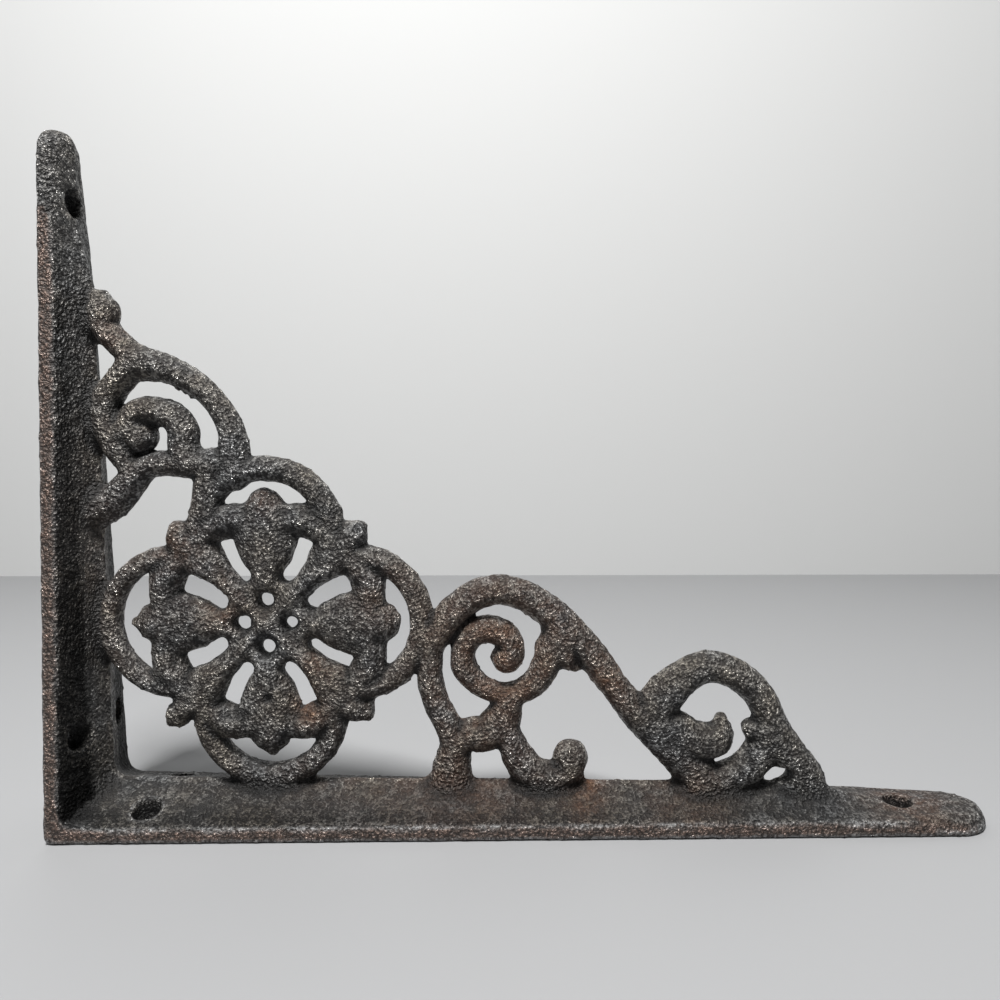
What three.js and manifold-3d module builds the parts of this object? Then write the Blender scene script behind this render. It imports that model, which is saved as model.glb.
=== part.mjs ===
// Ornate cast iron shelf bracket: two tapered arms at a right angle, a rosette and three scrolls.
// Millimetres, +Z up. The long arm lies along X with its flat face down. The short arm stands
// along Z with its flat face towards -X. The openwork fills the angle, half in front of Y = 0.
import * as THREE from "three";
import { mergeVertices } from "three/addons/utils/BufferGeometryUtils.js";
import Module from "manifold-3d";

const { lerp, mapLinear, smoothstep } = THREE.MathUtils;

// Arms
const LONG_ARM = 203.2;
const SHORT_ARM = 152.4;
const HEEL_WIDTH = 32;
const LONG_TIP_WIDTH = 17;
const SHORT_TIP_WIDTH = 13;
const LONG_TIP_ROUND = 8;
const SHORT_TIP_ROUND = 6.4;
const HEEL_ROUND = 1.8;
const EDGE_THICKNESS = 3.4;
const LONG_RIDGE = 8.5;
const SHORT_RIDGE = 7.8;
const LONG_PAD = 28;
const SHORT_PAD = 24;
const LONG_PAD_THICKNESS = 4.4;
const SHORT_PAD_THICKNESS = 4.8;

// Screw holes, square through the arms: two near the heel of each arm and one near its tip
const SCREW_HOLE = 6;
const LONG_HEEL_HOLES = 19.5;
const SHORT_HEEL_HOLES = 21;
const HEEL_HOLE_INSET = 6.2;
const LONG_TIP_HOLE = 18.2;
const SHORT_TIP_HOLE = 15.4;

// Openwork: a plain bar, the plate behind the petals, and how holes open out towards the faces
const BAR_WIDTH = 6.3;
const BAR_DEPTH = 7.4;
const PLATE_DEPTH = 4.4;
const HOLE_FLARE = 0.8;
const EYE_HOLE = 3.2;

// The openwork is drawn on squares: 200 along the long arm and 150 up the short arm.
const SQUARES_ALONG = 200;
const SQUARES_UP = 150;

// Rosette, in squares
const ROSE_CENTRE = [43.9, 43.8];
const LOBE_RADIUS = 15;
const LOBES = {
  right: { out: 19.2, share: 0.82 },
  up: { out: 19.3, share: 0.82 },
  left: { out: 20.2, share: 0.8 },
  down: { out: 19.6, share: 0.95 },
};
const LOBE_HOLE_RADIUS = 12.8;
const LOBE_HOLE_START = 26;
const EYE_OUT = 5.1;

// Longer than anything it cuts
const THROUGH = 60;

const wasm = await Module();
wasm.setup();

// A closed geometry as a solid that can be joined and cut, facing out whichever way it was drawn
function solid(geometry) {
  const bare = geometry.clone();
  bare.deleteAttribute("normal");
  bare.deleteAttribute("uv");
  const merged = mergeVertices(bare, 1e-4);
  const vertProperties = merged.attributes.position.array;
  const triVerts = new Uint32Array(merged.index.array);
  const made = new wasm.Manifold(new wasm.Mesh({ numProp: 3, vertProperties, triVerts }));
  if (made.volume() > 0) return made;
  return new wasm.Manifold(new wasm.Mesh({ numProp: 3, vertProperties, triVerts: triVerts.reverse() }));
}

const join = (solids) => solids.reduce((whole, piece) => whole.add(piece));

const cut = (whole, holes) => holes.reduce((left, hole) => left.subtract(hole), whole);

// A closed body through rings of points, each ring running the same way round as the next
function loft(rings) {
  const around = rings[0].length;
  const points = rings.flat();
  const faces = [];
  for (let ring = 0; ring + 1 < rings.length; ring += 1) {
    for (let i = 0; i < around; i += 1) {
      const a = ring * around + i;
      const b = ring * around + ((i + 1) % around);
      faces.push(a, b, b + around, a, b + around, a + around);
    }
  }
  const closeEnd = (ring, first, turn) => {
    const middle = points.length;
    points.push(ring.reduce((sum, point) => sum.add(point), new THREE.Vector3()).divideScalar(around));
    for (let i = 0; i < around; i += 1) {
      faces.push(middle, first + ((i + turn + around) % around), first + i);
    }
  };
  closeEnd(rings[0], 0, 1);
  closeEnd(rings.at(-1), (rings.length - 1) * around, -1);
  const geometry = new THREE.BufferGeometry().setFromPoints(points);
  geometry.setIndex(faces);
  return solid(geometry);
}

// Arms

const longArm = {
  length: LONG_ARM,
  tipWidth: LONG_TIP_WIDTH,
  tipRound: LONG_TIP_ROUND,
  ridge: LONG_RIDGE,
  pad: LONG_PAD,
  padThickness: LONG_PAD_THICKNESS,
  heelHoles: LONG_HEEL_HOLES,
  tipHole: LONG_TIP_HOLE,
};

const shortArm = {
  length: SHORT_ARM,
  tipWidth: SHORT_TIP_WIDTH,
  tipRound: SHORT_TIP_ROUND,
  ridge: SHORT_RIDGE,
  pad: SHORT_PAD,
  padThickness: SHORT_PAD_THICKNESS,
  heelHoles: SHORT_HEEL_HOLES,
  tipHole: SHORT_TIP_HOLE,
};

// Half the width of an arm at a distance from the heel: a straight taper with a rounded tip
function halfWidth(arm, along) {
  const straight = mapLinear(along, 0, arm.length, HEEL_WIDTH, arm.tipWidth) / 2;
  const intoTip = Math.max(0, along - (arm.length - arm.tipRound));
  return straight - arm.tipRound + Math.sqrt(Math.max(0, arm.tipRound ** 2 - intoTip ** 2));
}

// The ridge runs level under the openwork and sinks into the flat pad at the tip.
const fadeStart = (arm) => arm.length - arm.pad * 1.5;
const fadeEnd = (arm) => arm.length - arm.pad * 0.75;

function ridgeHeight(arm, along) {
  return lerp(arm.ridge, arm.padThickness, smoothstep(along, fadeStart(arm), fadeEnd(arm)));
}

// Places along an arm where its section is drawn: closer together where the ridge or tip curves
function stations(arm) {
  const fading = [0, 1, 2, 3, 4].map((i) => lerp(fadeStart(arm), fadeEnd(arm), i / 4));
  const rounding = [0, 1, 2, 3, 4, 5].map(
    (i) => arm.length - arm.tipRound * (1 - Math.sin((i * Math.PI) / 10)),
  );
  return [0, ...fading, ...rounding];
}

// An arm lying along X: flat below, and above it two slopes that steepen towards the ridge
function armBody(arm) {
  const rings = stations(arm).map((along) => {
    const half = halfWidth(arm, along);
    const top = ridgeHeight(arm, along);
    const bend = [half * 0.3, lerp(EDGE_THICKNESS, top, 0.66)];
    const slope = [[half, 0], [half, EDGE_THICKNESS], bend];
    const back = slope.map(([y, z]) => [-y, z]).reverse();
    return [...slope, [0, top], ...back].map(([y, z]) => new THREE.Vector3(along, y, z));
  });
  return loft(rings);
}

function screwHole(along, y) {
  const hole = new THREE.CylinderGeometry(SCREW_HOLE / 2, SCREW_HOLE / 2, THROUGH, 24);
  return solid(hole.rotateX(Math.PI / 2).translate(along, y, 0));
}

function screwHoles(arm) {
  const side = halfWidth(arm, arm.heelHoles) - HEEL_HOLE_INSET;
  return [
    screwHole(arm.heelHoles, -side),
    screwHole(arm.heelHoles, side),
    screwHole(arm.length - arm.tipHole, 0),
  ];
}

// Swaps X and Z, which stands an arm up with its flat face towards -X
const standUp = (piece) => piece.mirror([1, 0, -1]);

// What is trimmed off the outer corner of the heel to round it
function heelTrim() {
  const corner = new THREE.Shape();
  corner.moveTo(-1, -1).lineTo(HEEL_ROUND, -1).lineTo(HEEL_ROUND, 0);
  corner.absarc(HEEL_ROUND, HEEL_ROUND, HEEL_ROUND, -Math.PI / 2, -Math.PI, true);
  corner.lineTo(-1, HEEL_ROUND);
  const trim = new THREE.ExtrudeGeometry(corner, { depth: THROUGH, bevelEnabled: false, curveSegments: 6 });
  return solid(trim.rotateX(Math.PI / 2).translate(0, THROUGH / 2, 0));
}

// Openwork

// A place on the squares, in millimetres
function place([along, up]) {
  return [(along * LONG_ARM) / SQUARES_ALONG, (up * SHORT_ARM) / SQUARES_UP];
}

// The most that a bar bends between two of its sections
const STEP_BEND = THREE.MathUtils.degToRad(24);

// The section of a bar as shares of its width and depth: round, and widest at Y = 0
const SECTION = Array.from({ length: 8 }, (_, i) => {
  const turn = (i * Math.PI) / 4;
  return [Math.cos(turn) / 2, Math.sin(turn) / 2];
});

// A bar along a smooth line through points [along, up, share of the plain width]
function bar(points) {
  const line = new THREE.CatmullRomCurve3(
    points.map(([along, up, share]) => {
      const [x, z] = place([along, up]);
      return new THREE.Vector3(x, share * BAR_WIDTH, z);
    }),
  );
  const spans = points.length - 1;
  const heading = (at) => line.getTangent(at).setY(0).normalize();
  const sections = [0];
  for (let span = 0; span < spans; span += 1) {
    const bend = heading(span / spans).angleTo(heading((span + 1) / spans));
    const steps = Math.max(1, Math.round(bend / STEP_BEND));
    for (let step = 1; step <= steps; step += 1) sections.push((span + step / steps) / spans);
  }
  const rings = sections.map((at) => {
    const { x, y: width, z } = line.getPoint(at);
    const ahead = heading(at);
    const depth = BAR_DEPTH * Math.min(1, 0.4 + (0.6 * width) / BAR_WIDTH);
    return SECTION.map(
      ([side, front]) =>
        new THREE.Vector3(x + side * width * ahead.z, front * depth, z - side * width * ahead.x),
    );
  });
  return loft(rings);
}

// The round knob that ends a scroll, at [along, up]
function knob(at, radius) {
  const [x, z] = place(at);
  const ball = new THREE.SphereGeometry(radius, 12, 8).scale(1, BAR_DEPTH / 2 / radius, 1);
  return solid(ball.translate(x, 0, z));
}

// A hole through the openwork, narrowest at Y = 0 where it has the outline given in squares
function pocket(outline) {
  const points = outline.map((point) => new THREE.Vector2(...place(point)));
  if (THREE.ShapeUtils.isClockWise(points)) points.reverse();
  const ring = (y, flare) =>
    points.map((point, i) => {
      const along = points[(i + 1) % points.length].clone().sub(points.at(i - 1)).normalize();
      return new THREE.Vector3(point.x + along.y * flare, y, point.y - along.x * flare);
    });
  return loft([
    ring(-THROUGH, HOLE_FLARE),
    ring(-BAR_DEPTH / 2, HOLE_FLARE),
    ring(0, 0),
    ring(BAR_DEPTH / 2, HOLE_FLARE),
    ring(THROUGH, HOLE_FLARE),
  ]);
}

// A circle on the squares, or the arc of it between two angles
function circle([along, up], radius, sides, start = 0, end = 2 * Math.PI * (1 - 1 / sides)) {
  return Array.from({ length: sides }, (_, i) => {
    const turn = lerp(start, end, i / (sides - 1));
    return [along + radius * Math.cos(turn), up + radius * Math.sin(turn)];
  });
}

// Scroll above the rosette
const UPPER_SCROLL = {
  arch: [
    [9.8, 94, 0.91], [13.4, 98, 0.95], [16.3, 100.4, 1.5], [20.7, 100, 1.12], [26, 97.8, 0.94],
    [30.6, 94.4, 0.89], [34.4, 89.9, 0.89], [36.6, 85.1, 1], [37.4, 80.7, 1.15], [37.2, 76.8, 1.2],
  ],
  coil: [
    [33.5, 78.7, 0.98], [28.5, 79.5, 1.06], [26.4, 82.7, 1.06], [26.4, 86.1, 1.06], [24, 89.4, 1.03],
    [20.3, 90.7, 1.03], [16.2, 90, 0.97], [14.6, 87.1, 1],
  ],
  root: [
    [33.5, 78.5, 0.91], [27.6, 78.6, 0.82], [21.7, 78.8, 0.88], [16.7, 78.5, 0.97], [13.4, 74.6, 1.25],
    [5.9, 69.2, 1.4],
  ],
  brace: [[33, 79, 0.95], [31.2, 74.5, 0.9], [31.2, 70, 0.8]],
  web: [[13.4, 79.7, 0.76], [10.3, 84.2, 1.21], [9.2, 89.6, 1.12], [9.8, 94, 0.97], [12.8, 98, 0.9]],
  bud: [
    [15.7, 101.9, 1.06], [12, 105, 1.15], [9.6, 109.3, 1], [9.6, 112.3, 1.03], [9.2, 114.8, 0.73],
    [8.9, 116.4, 0.3],
  ],
};

// Scroll beside the rosette
const SECOND_SCROLL = {
  leg: [
    [80.2, 41.3, 1.06], [79.6, 35.4, 1], [79.7, 30.5, 0.95], [81.1, 25.6, 0.91], [83, 20.7, 1.06],
    [84.3, 16.2, 1.15], [83.7, 10.8, 1.36], [83.2, 3.9, 1.52],
  ],
  stem: [
    [80.6, 40.4, 1], [83.2, 43.8, 1.14], [86.6, 47.5, 1.06], [90.6, 50, 1.05], [95, 50.9, 1.03],
    [99.9, 49.9, 1.03], [104.7, 47, 1.06], [109.6, 42.7, 1.12], [113.5, 38.6, 1.06], [116.8, 34.3, 1.03],
    [120.5, 29.1, 0.97], [124.8, 23.6, 1.06], [128.9, 19.2, 1.14], [133.4, 14.8, 1.21], [138.6, 9.8, 1.36],
    [143.2, 3.9, 1.36],
  ],
  coil: [
    [110.2, 41.3, 0.91], [106.9, 38.9, 1.12], [105.3, 34.4, 1], [101.9, 29.5, 0.91], [96.5, 27.9, 0.76],
    [90.6, 29.7, 0.79], [87.2, 33.5, 0.91], [86.8, 37.6, 0.94], [89, 41.3, 1], [92.8, 42.3, 1],
    [96.5, 40.6, 0.97], [97.7, 37.4, 0.94], [96.9, 35.6, 0.82],
  ],
  spur: [[108.3, 42.3, 1.21], [108.9, 38, 1.3], [110.2, 34.8, 0.76]],
  leaf: [[96.9, 27.6, 1.29], [95.9, 22.6, 1.27], [92.5, 19.1, 1.3], [87.1, 18.5, 1.21], [82.7, 16.7, 1.06]],
  hook: [
    [95.5, 20.7, 1.14], [97.2, 17.2, 0.98], [99.2, 13.2, 1.15], [102.4, 9.8, 1.15], [107.3, 9.4, 0.98],
    [110.7, 10.8, 0.91],
  ],
};

// Scroll towards the tip of the long arm
const THIRD_SCROLL = {
  arch: [
    [127.2, 23.2, 1.35], [130.9, 28, 1.45], [135, 31.6, 1.25], [139.9, 33.8, 1.12], [145.5, 32.8, 1.06],
    [150.9, 28.7, 1.05], [154, 23.3, 1.08], [155.4, 19, 1.3], [158.2, 14.1, 1.3], [161.2, 9.2, 1.3],
    [163, 3.9, 1.3],
  ],
  foot: [[154.5, 20.2, 1.2], [152.3, 15.5, 1.35], [149.3, 10.6, 1.4], [144, 8.8, 1.1], [137.8, 7.9, 1]],
  nib: [[153.5, 21.7, 0.76], [149.6, 20.3, 0.36]],
  leaf: [
    [128.9, 17.7, 1.36], [131.9, 17.1, 1.67], [135.6, 17.9, 1.52], [139.5, 18.1, 1.21], [142.7, 19.5, 1],
    [143.9, 22.2, 0.48],
  ],
};
const FOOT_HOLE = [155.5, 10.1];

// Knobs, as [along, up] and the radius in millimetres
const UPPER_KNOB = [15.7, 86.6];
const UPPER_KNOB_RADIUS = 3.4;
const COIL_KNOB = [96.6, 35.7];
const COIL_KNOB_RADIUS = 3.3;
const HOOK_KNOB = [110.5, 13.7];
const HOOK_KNOB_RADIUS = 3.7;

const scroll = (bars) => Object.values(bars).map((points) => bar(points));

function scrolls() {
  return [
    ...scroll(UPPER_SCROLL),
    knob(UPPER_KNOB, UPPER_KNOB_RADIUS),
    ...scroll(SECOND_SCROLL),
    knob(COIL_KNOB, COIL_KNOB_RADIUS),
    knob(HOOK_KNOB, HOOK_KNOB_RADIUS),
    ...scroll(THIRD_SCROLL),
  ];
}

// Rosette: each piece is drawn pointing along +X from the centre, then turned round it

// Turns [out, side] from the centre of the rosette into a place on the squares
function turned(angle) {
  const centre = new THREE.Vector2(...ROSE_CENTRE);
  return ([out, side, ...rest]) => {
    const point = new THREE.Vector2(out, side).rotateAround(new THREE.Vector2(), angle).add(centre);
    return [point.x, point.y, ...rest];
  };
}

const QUARTERS = [0, 1, 2, 3].map((i) => (i * Math.PI) / 2);
const DIAGONALS = QUARTERS.map((angle) => angle + Math.PI / 4);

// Petals as [out, side, share of the plain width]: four on the quarters, four on the diagonals
const QUARTER_PETAL = [
  [1, 0, 0.6], [6, 0, 0.95], [10.5, 0, 1.15], [15, 0, 1.7], [19, 0, 2.2], [23, 0, 2.3], [25.6, 0, 1.5],
  [28, 0, 0.8], [29.8, 0, 0.3],
];
const DIAGONAL_PETAL = [
  [0, 0, 0.75], [5, 0, 0.75], [10, 0, 1], [15, 0, 1.4], [20, 0, 1.8], [25, 0, 1.4], [28, 0, 0.9],
  [30.4, 0, 0.45],
];

// The slot between two petals, on one side of a quarter petal
const SLOT = [
  [9.2, 3.4], [9.4, 5.6], [12.6, 8.6], [18.4, 11], [19, 9.2], [18.4, 7.2], [14.8, 5.7], [11.4, 3.5],
];

function rosette() {
  const lobes = Object.values(LOBES).map(({ out, share }, i) => {
    return { centre: [out, 0], share, turn: turned(QUARTERS[i]) };
  });
  const plates = lobes.map(({ centre, turn }) => {
    const rim = circle(centre, LOBE_RADIUS, 16).map(turn).map(place);
    const faces = [-PLATE_DEPTH / 2, PLATE_DEPTH / 2];
    return loft(faces.map((y) => rim.map(([x, z]) => new THREE.Vector3(x, y, z))));
  });
  const holeTurn = Math.acos((LOBE_HOLE_START - LOBES.right.out) / LOBE_HOLE_RADIUS);
  const lobeHoles = lobes.map(({ centre, turn }) =>
    pocket(circle(centre, LOBE_HOLE_RADIUS, 13, -holeTurn, holeTurn).map(turn)),
  );
  const rings = lobes.map(({ centre, share, turn }) => {
    const arc = circle(centre, LOBE_RADIUS, 11, -Math.PI / 2, Math.PI / 2);
    return bar(arc.map(([out, side]) => turn([out, side, share])));
  });
  const petals = [
    ...QUARTERS.map((angle) => bar(QUARTER_PETAL.map(turned(angle)))),
    ...DIAGONALS.map((angle) => bar(DIAGONAL_PETAL.map(turned(angle)))),
  ];
  const slots = QUARTERS.flatMap((angle) =>
    [1, -1].map((half) => pocket(SLOT.map(([out, side]) => turned(angle)([out, side * half])))),
  );
  const eyeRadius = (EYE_HOLE / 2) * (SQUARES_ALONG / LONG_ARM);
  const eyes = QUARTERS.map((angle) => pocket(circle([EYE_OUT, 0], eyeRadius, 10).map(turned(angle))));
  const open = cut(join(plates), lobeHoles);
  return cut(join([open, ...rings, ...petals]), [...slots, ...eyes]);
}

// The small oval hole between the foot of the third scroll and the arm
function footHole() {
  return pocket(circle([0, 0], 2.3, 12).map(([x, z]) => [FOOT_HOLE[0] + x, FOOT_HOLE[1] + z * 0.6]));
}

function casting() {
  const openwork = cut(join([rosette(), ...scrolls()]), [footHole()]);
  const body = join([armBody(longArm), standUp(armBody(shortArm)), openwork]);
  return cut(body, [...screwHoles(longArm), ...screwHoles(shortArm).map(standUp), heelTrim()]);
}

// A solid as a geometry with flat faces
function faceted(shape) {
  const { vertProperties, triVerts } = shape.getMesh();
  const geometry = new THREE.BufferGeometry();
  geometry.setAttribute("position", new THREE.BufferAttribute(vertProperties, 3));
  geometry.setIndex(new THREE.BufferAttribute(triVerts, 1));
  const flat = geometry.toNonIndexed();
  flat.computeVertexNormals();
  return flat;
}

const castIron = new THREE.MeshStandardMaterial({ color: 0x46423e, roughness: 0.72, metalness: 0.55 });
const bracket = new THREE.Mesh(faceted(casting()), castIron);
bracket.name = "cast_bracket";

const part = new THREE.Group();
part.position.x = -LONG_ARM / 2;
part.add(bracket);

export default part;
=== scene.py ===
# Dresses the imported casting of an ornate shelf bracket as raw, sand-cast iron.
# The frame is in metres: the long arm lies along X on the floor, the short arm stands at the low
# end of X, and the openwork lies half in front of Y = 0 and half behind it. The casting is drawn in
# millimetres from the heel corner: along the long arm, up the short arm, and Y out to the sides.

import math

import bpy
import numpy as np
from mathutils import Matrix, Vector


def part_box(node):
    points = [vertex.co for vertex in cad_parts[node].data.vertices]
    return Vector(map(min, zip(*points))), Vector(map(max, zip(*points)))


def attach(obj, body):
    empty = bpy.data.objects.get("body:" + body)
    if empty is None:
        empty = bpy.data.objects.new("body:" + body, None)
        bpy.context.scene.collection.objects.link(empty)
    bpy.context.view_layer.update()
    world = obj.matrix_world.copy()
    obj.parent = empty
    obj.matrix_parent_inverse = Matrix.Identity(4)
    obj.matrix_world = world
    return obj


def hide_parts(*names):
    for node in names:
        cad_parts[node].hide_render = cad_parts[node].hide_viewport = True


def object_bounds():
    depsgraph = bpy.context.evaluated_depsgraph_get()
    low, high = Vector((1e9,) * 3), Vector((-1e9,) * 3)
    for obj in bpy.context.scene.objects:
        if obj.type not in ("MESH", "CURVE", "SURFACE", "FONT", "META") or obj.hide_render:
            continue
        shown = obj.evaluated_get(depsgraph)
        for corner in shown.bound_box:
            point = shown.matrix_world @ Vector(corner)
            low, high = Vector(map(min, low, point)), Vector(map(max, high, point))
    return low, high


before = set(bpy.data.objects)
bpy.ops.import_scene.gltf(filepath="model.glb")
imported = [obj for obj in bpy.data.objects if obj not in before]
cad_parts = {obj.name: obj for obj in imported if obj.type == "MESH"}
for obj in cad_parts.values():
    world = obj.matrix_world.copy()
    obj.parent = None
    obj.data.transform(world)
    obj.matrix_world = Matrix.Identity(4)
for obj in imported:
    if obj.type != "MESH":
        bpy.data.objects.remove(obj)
cad_low, cad_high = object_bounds()

MM = 0.001
CASTING = "cast_bracket"
HEEL = np.array([cad_low.x, 0.0, cad_low.z])

# Arms: their reach and the width at the heel are the frame's own
casting_low, casting_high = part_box(CASTING)
LONG_REACH = (casting_high.x - casting_low.x) / MM
SHORT_REACH = (casting_high.z - casting_low.z) / MM
HEEL_WIDTH = (casting_high.y - casting_low.y) / MM
EDGE_THICKNESS = 3.4
# Each arm also says how strong the painted shade on its slopes is and over how far from the openwork it
# grows in, and how strong its bright edges are, partly worn and partly a painted highlight
LONG_ARM = {
    "reach": LONG_REACH, "tip_width": 17.0, "tip_round": 8.0, "ridge": 8.5, "pad": 28.0,
    "pad_thickness": 4.4, "heel_holes": 19.5, "tip_hole": 18.2,
    "painted_shade": 0.62, "shade_fade": 8.0, "edge_wear_and_highlight": 1.0,
}
SHORT_ARM = {
    "reach": SHORT_REACH, "tip_width": 13.0, "tip_round": 6.4, "ridge": 7.8, "pad": 24.0,
    "pad_thickness": 4.8, "heel_holes": 21.0, "tip_hole": 15.4,
    "painted_shade": 1.0, "shade_fade": 3.0, "edge_wear_and_highlight": 0.3,
}

# Slopes of an arm: the ridge sinks between two distances from the tip, given in pads. The slopes
# steepen a little towards the ridge, and their lean turns a height into a distance inside.
RIDGE_FADE = (1.5, 0.75)
SLOPE_BEND = 0.14
SLOPE_LEAN = 0.94

# Roundings of an arm's edges, which grow over the last stretch before the tip
EDGE_ROUND = 0.8
TIP_EDGE_GROWTH = 2.9
TIP_EDGE_START = 24.0
TIP_EDGE_FULL = 8.0
SIDE_ROUND = 0.6

# Heel: how the arms run into each other, and how the corner outside them is rounded
HEEL_ROUND = 1.8
HEEL_BLEND = 4.0
HEEL_EDGE = 1.0
OPENWORK_HEEL_EDGE = 0.3

# Screw holes: they reach further up from the flat face than an arm is thick
SCREW_HOLE = 6.0
SCREW_HOLE_EDGE = 0.7
SCREW_HOLE_REACH = 12.0

# How far in from the side of its arm each hole at the heel lies
HEEL_HOLE_INSET = 6.2

# Openwork: the plain bar, the plate behind the petals, and how metal runs into corners
BAR_WIDTH = 6.3
BAR_DEPTH = 7.6
PLATE_DEPTH = 4.8
PLATE_EDGE = 1.0
BAR_BLEND = 1.0
ROOT_BLEND = 2.1
HOLE_EDGE = 1.1
SLOT_END_EDGE = 0.9
SLOT_FLARE = 1.35
EYE_FLARE = 2.2
FOOT_HOLE_FLARE = 0.5

# Share of its depth that a bar would keep where it thins to nothing
THIN_BAR_DEPTH = 0.4

# How finely a line is followed, how far round a bar is looked at, and a line that is only a dot
LINE_STEP = 0.4
LOOK_ROUND = 4.0
DOT = 0.1

# A depth inside that means far outside
FAR = -9.0

# Scroll above the rosette: points along each bar as (along, up, width)
UPPER_SCROLL = {
    "arch": [(10.0, 95.5, 5.7), (13.6, 99.6, 5.6), (16.6, 102.0, 7.6), (21.0, 101.8, 6.6),
             (26.6, 99.8, 5.5), (31.7, 96.3, 5.2), (35.6, 91.6, 5.3), (37.7, 86.5, 6.0),
             (38.0, 82.0, 7.2), (37.8, 78.0, 7.6)],
    "coil": [(34.0, 80.0, 6.2), (29.0, 80.8, 6.7), (26.8, 84.0, 6.7), (26.8, 87.5, 6.7),
             (24.6, 90.6, 6.3), (20.6, 91.9, 6.2), (16.5, 91.2, 6.3), (14.4, 88.0, 6.6)],
    "root": [(34.0, 79.9, 5.6), (28.0, 79.7, 5.6), (22.5, 80.3, 5.4), (17.8, 79.2, 5.8),
             (14.2, 75.6, 6.8), (10.6, 72.0, 7.6), (6.0, 70.0, 8.2)],
    "brace": [(33.5, 80.3, 6.0), (31.9, 75.7, 6.2), (31.4, 70.1, 6.2)],
    "web": [(14.6, 79.6, 5.2), (11.8, 84.8, 7.0), (9.6, 91.0, 6.8), (10.6, 95.3, 5.6),
            (13.6, 99.2, 5.4)],
    "bud": [(16.4, 103.7, 6.0), (12.6, 107.3, 5.6), (9.8, 111.0, 6.0), (9.9, 114.2, 6.8),
            (9.4, 116.3, 4.4)],
}
UPPER_KNOB = (16.9, 86.5, 4.0)

# Scroll beside the rosette
SECOND_SCROLL = {
    "leg": [(81.3, 42.0, 6.3), (80.8, 36.5, 5.8), (81.0, 31.0, 5.7), (82.3, 26.0, 5.7),
            (84.8, 21.0, 6.0), (86.4, 16.8, 6.6), (85.6, 11.0, 8.6), (84.8, 4.0, 10.4)],
    "stem": [(81.9, 41.0, 6.3), (84.5, 44.5, 7.2), (88.0, 48.3, 6.7), (92.0, 50.8, 6.6),
             (96.5, 51.7, 6.5), (101.5, 50.7, 6.5), (106.4, 47.8, 6.7), (111.4, 43.4, 7.1),
             (115.3, 39.2, 6.7), (118.7, 34.8, 6.5), (122.4, 29.6, 6.1), (126.8, 24.0, 6.7),
             (131.0, 19.5, 7.2), (135.5, 15.0, 7.6), (140.8, 10.0, 8.6), (145.5, 4.0, 8.6)],
    "coil": [(112.0, 42.0, 5.7), (108.6, 39.5, 7.1), (107.0, 35.0, 6.3), (103.5, 30.0, 5.7),
             (98.0, 28.2, 4.6), (92.2, 30.1, 4.8), (88.8, 34.0, 5.6), (88.5, 38.2, 5.5),
             (90.6, 41.9, 5.9), (94.3, 42.9, 6.1), (97.9, 41.2, 5.9), (99.3, 38.2, 5.6),
             (98.6, 36.6, 5.2)],
    "spur": [(110.0, 43.0, 7.6), (110.6, 38.6, 8.0), (112.2, 35.6, 4.6), (113.3, 34.6, 2.6)],
    "leaf": [(98.6, 26.8, 6.4), (97.0, 22.6, 8.0), (93.6, 19.2, 8.0), (90.2, 18.8, 7.8),
             (87.2, 17.4, 5.6)],
    "hook": [(97.0, 21.0, 7.2), (98.8, 17.5, 6.2), (100.8, 13.4, 7.2), (104.0, 10.0, 7.2),
             (109.0, 9.6, 6.2), (112.5, 11.0, 5.7)],
}
COIL_KNOB = (98.1, 36.3, 3.3)
HOOK_KNOB = (112.3, 13.9, 3.7)

# Scroll towards the tip of the long arm
THIRD_SCROLL = {
    "arch": [(129.8, 23.4, 8.8), (133.4, 28.2, 9.0), (137.2, 31.9, 7.6), (142.1, 34.3, 7.1),
             (147.8, 33.3, 6.7), (153.2, 29.2, 6.4), (156.1, 23.7, 6.8), (157.4, 19.3, 8.0),
             (160.7, 14.2, 8.4), (163.8, 9.2, 9.6), (164.7, 4.0, 8.8)],
    "foot": [(157.0, 20.5, 7.0), (154.9, 15.7, 7.8), (151.2, 11.2, 7.6), (146.3, 9.2, 6.9),
             (140.0, 8.0, 6.3)],
    "nib": [(157.0, 20.2, 7.0), (154.6, 20.3, 6.2), (152.6, 20.6, 4.4)],
    "leaf": [(132.6, 21.4, 7.0), (135.4, 20.4, 8.4), (138.4, 18.2, 9.0), (142.0, 17.8, 7.6)],
    "leaf_tip": [(141.6, 17.4, 7.6), (144.4, 18.2, 8.0), (145.7, 20.4, 5.6), (145.9, 22.6, 2.6)],
}
FOOT_HOLE = [(156.7, 9.9, 2.6), (158.0, 10.4, 3.2), (159.4, 10.6, 2.8)]

# Parting seam round the openwork, whose height waves as (share, radians per mm along, and up)
SEAM_HEIGHT = 0.3
SEAM_WIDTH = 0.6
SEAM_MIDDLE = 0.5
SEAM_WAVES = [(0.3, 0.9, 1.3), (0.2, 2.3, -1.1)]
SEAM_LEAST = 0.1

# Flash that runs out of the seam, as (along, up, radius, height)
FLASHES = [
    (24.2, 96.9, 0.6, 0.9), (25.7, 96.6, 0.6, 1.1), (27.2, 95.9, 0.6, 0.9), (28.6, 94.9, 0.7, 0.8),
    (60.9, 69.7, 1.0, 0.7), (77.3, 55.1, 1.0, 0.8), (122.0, 34.1, 1.2, 0.5), (165.0, 12.5, 1.2, 0.6),
    (40.0, 85.2, 1.2, 0.4), (19.6, 85.0, 0.8, 0.5), (147.5, 16.6, 0.9, 0.5), (78.4, 14.6, 1.0, 0.4),
]

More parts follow.
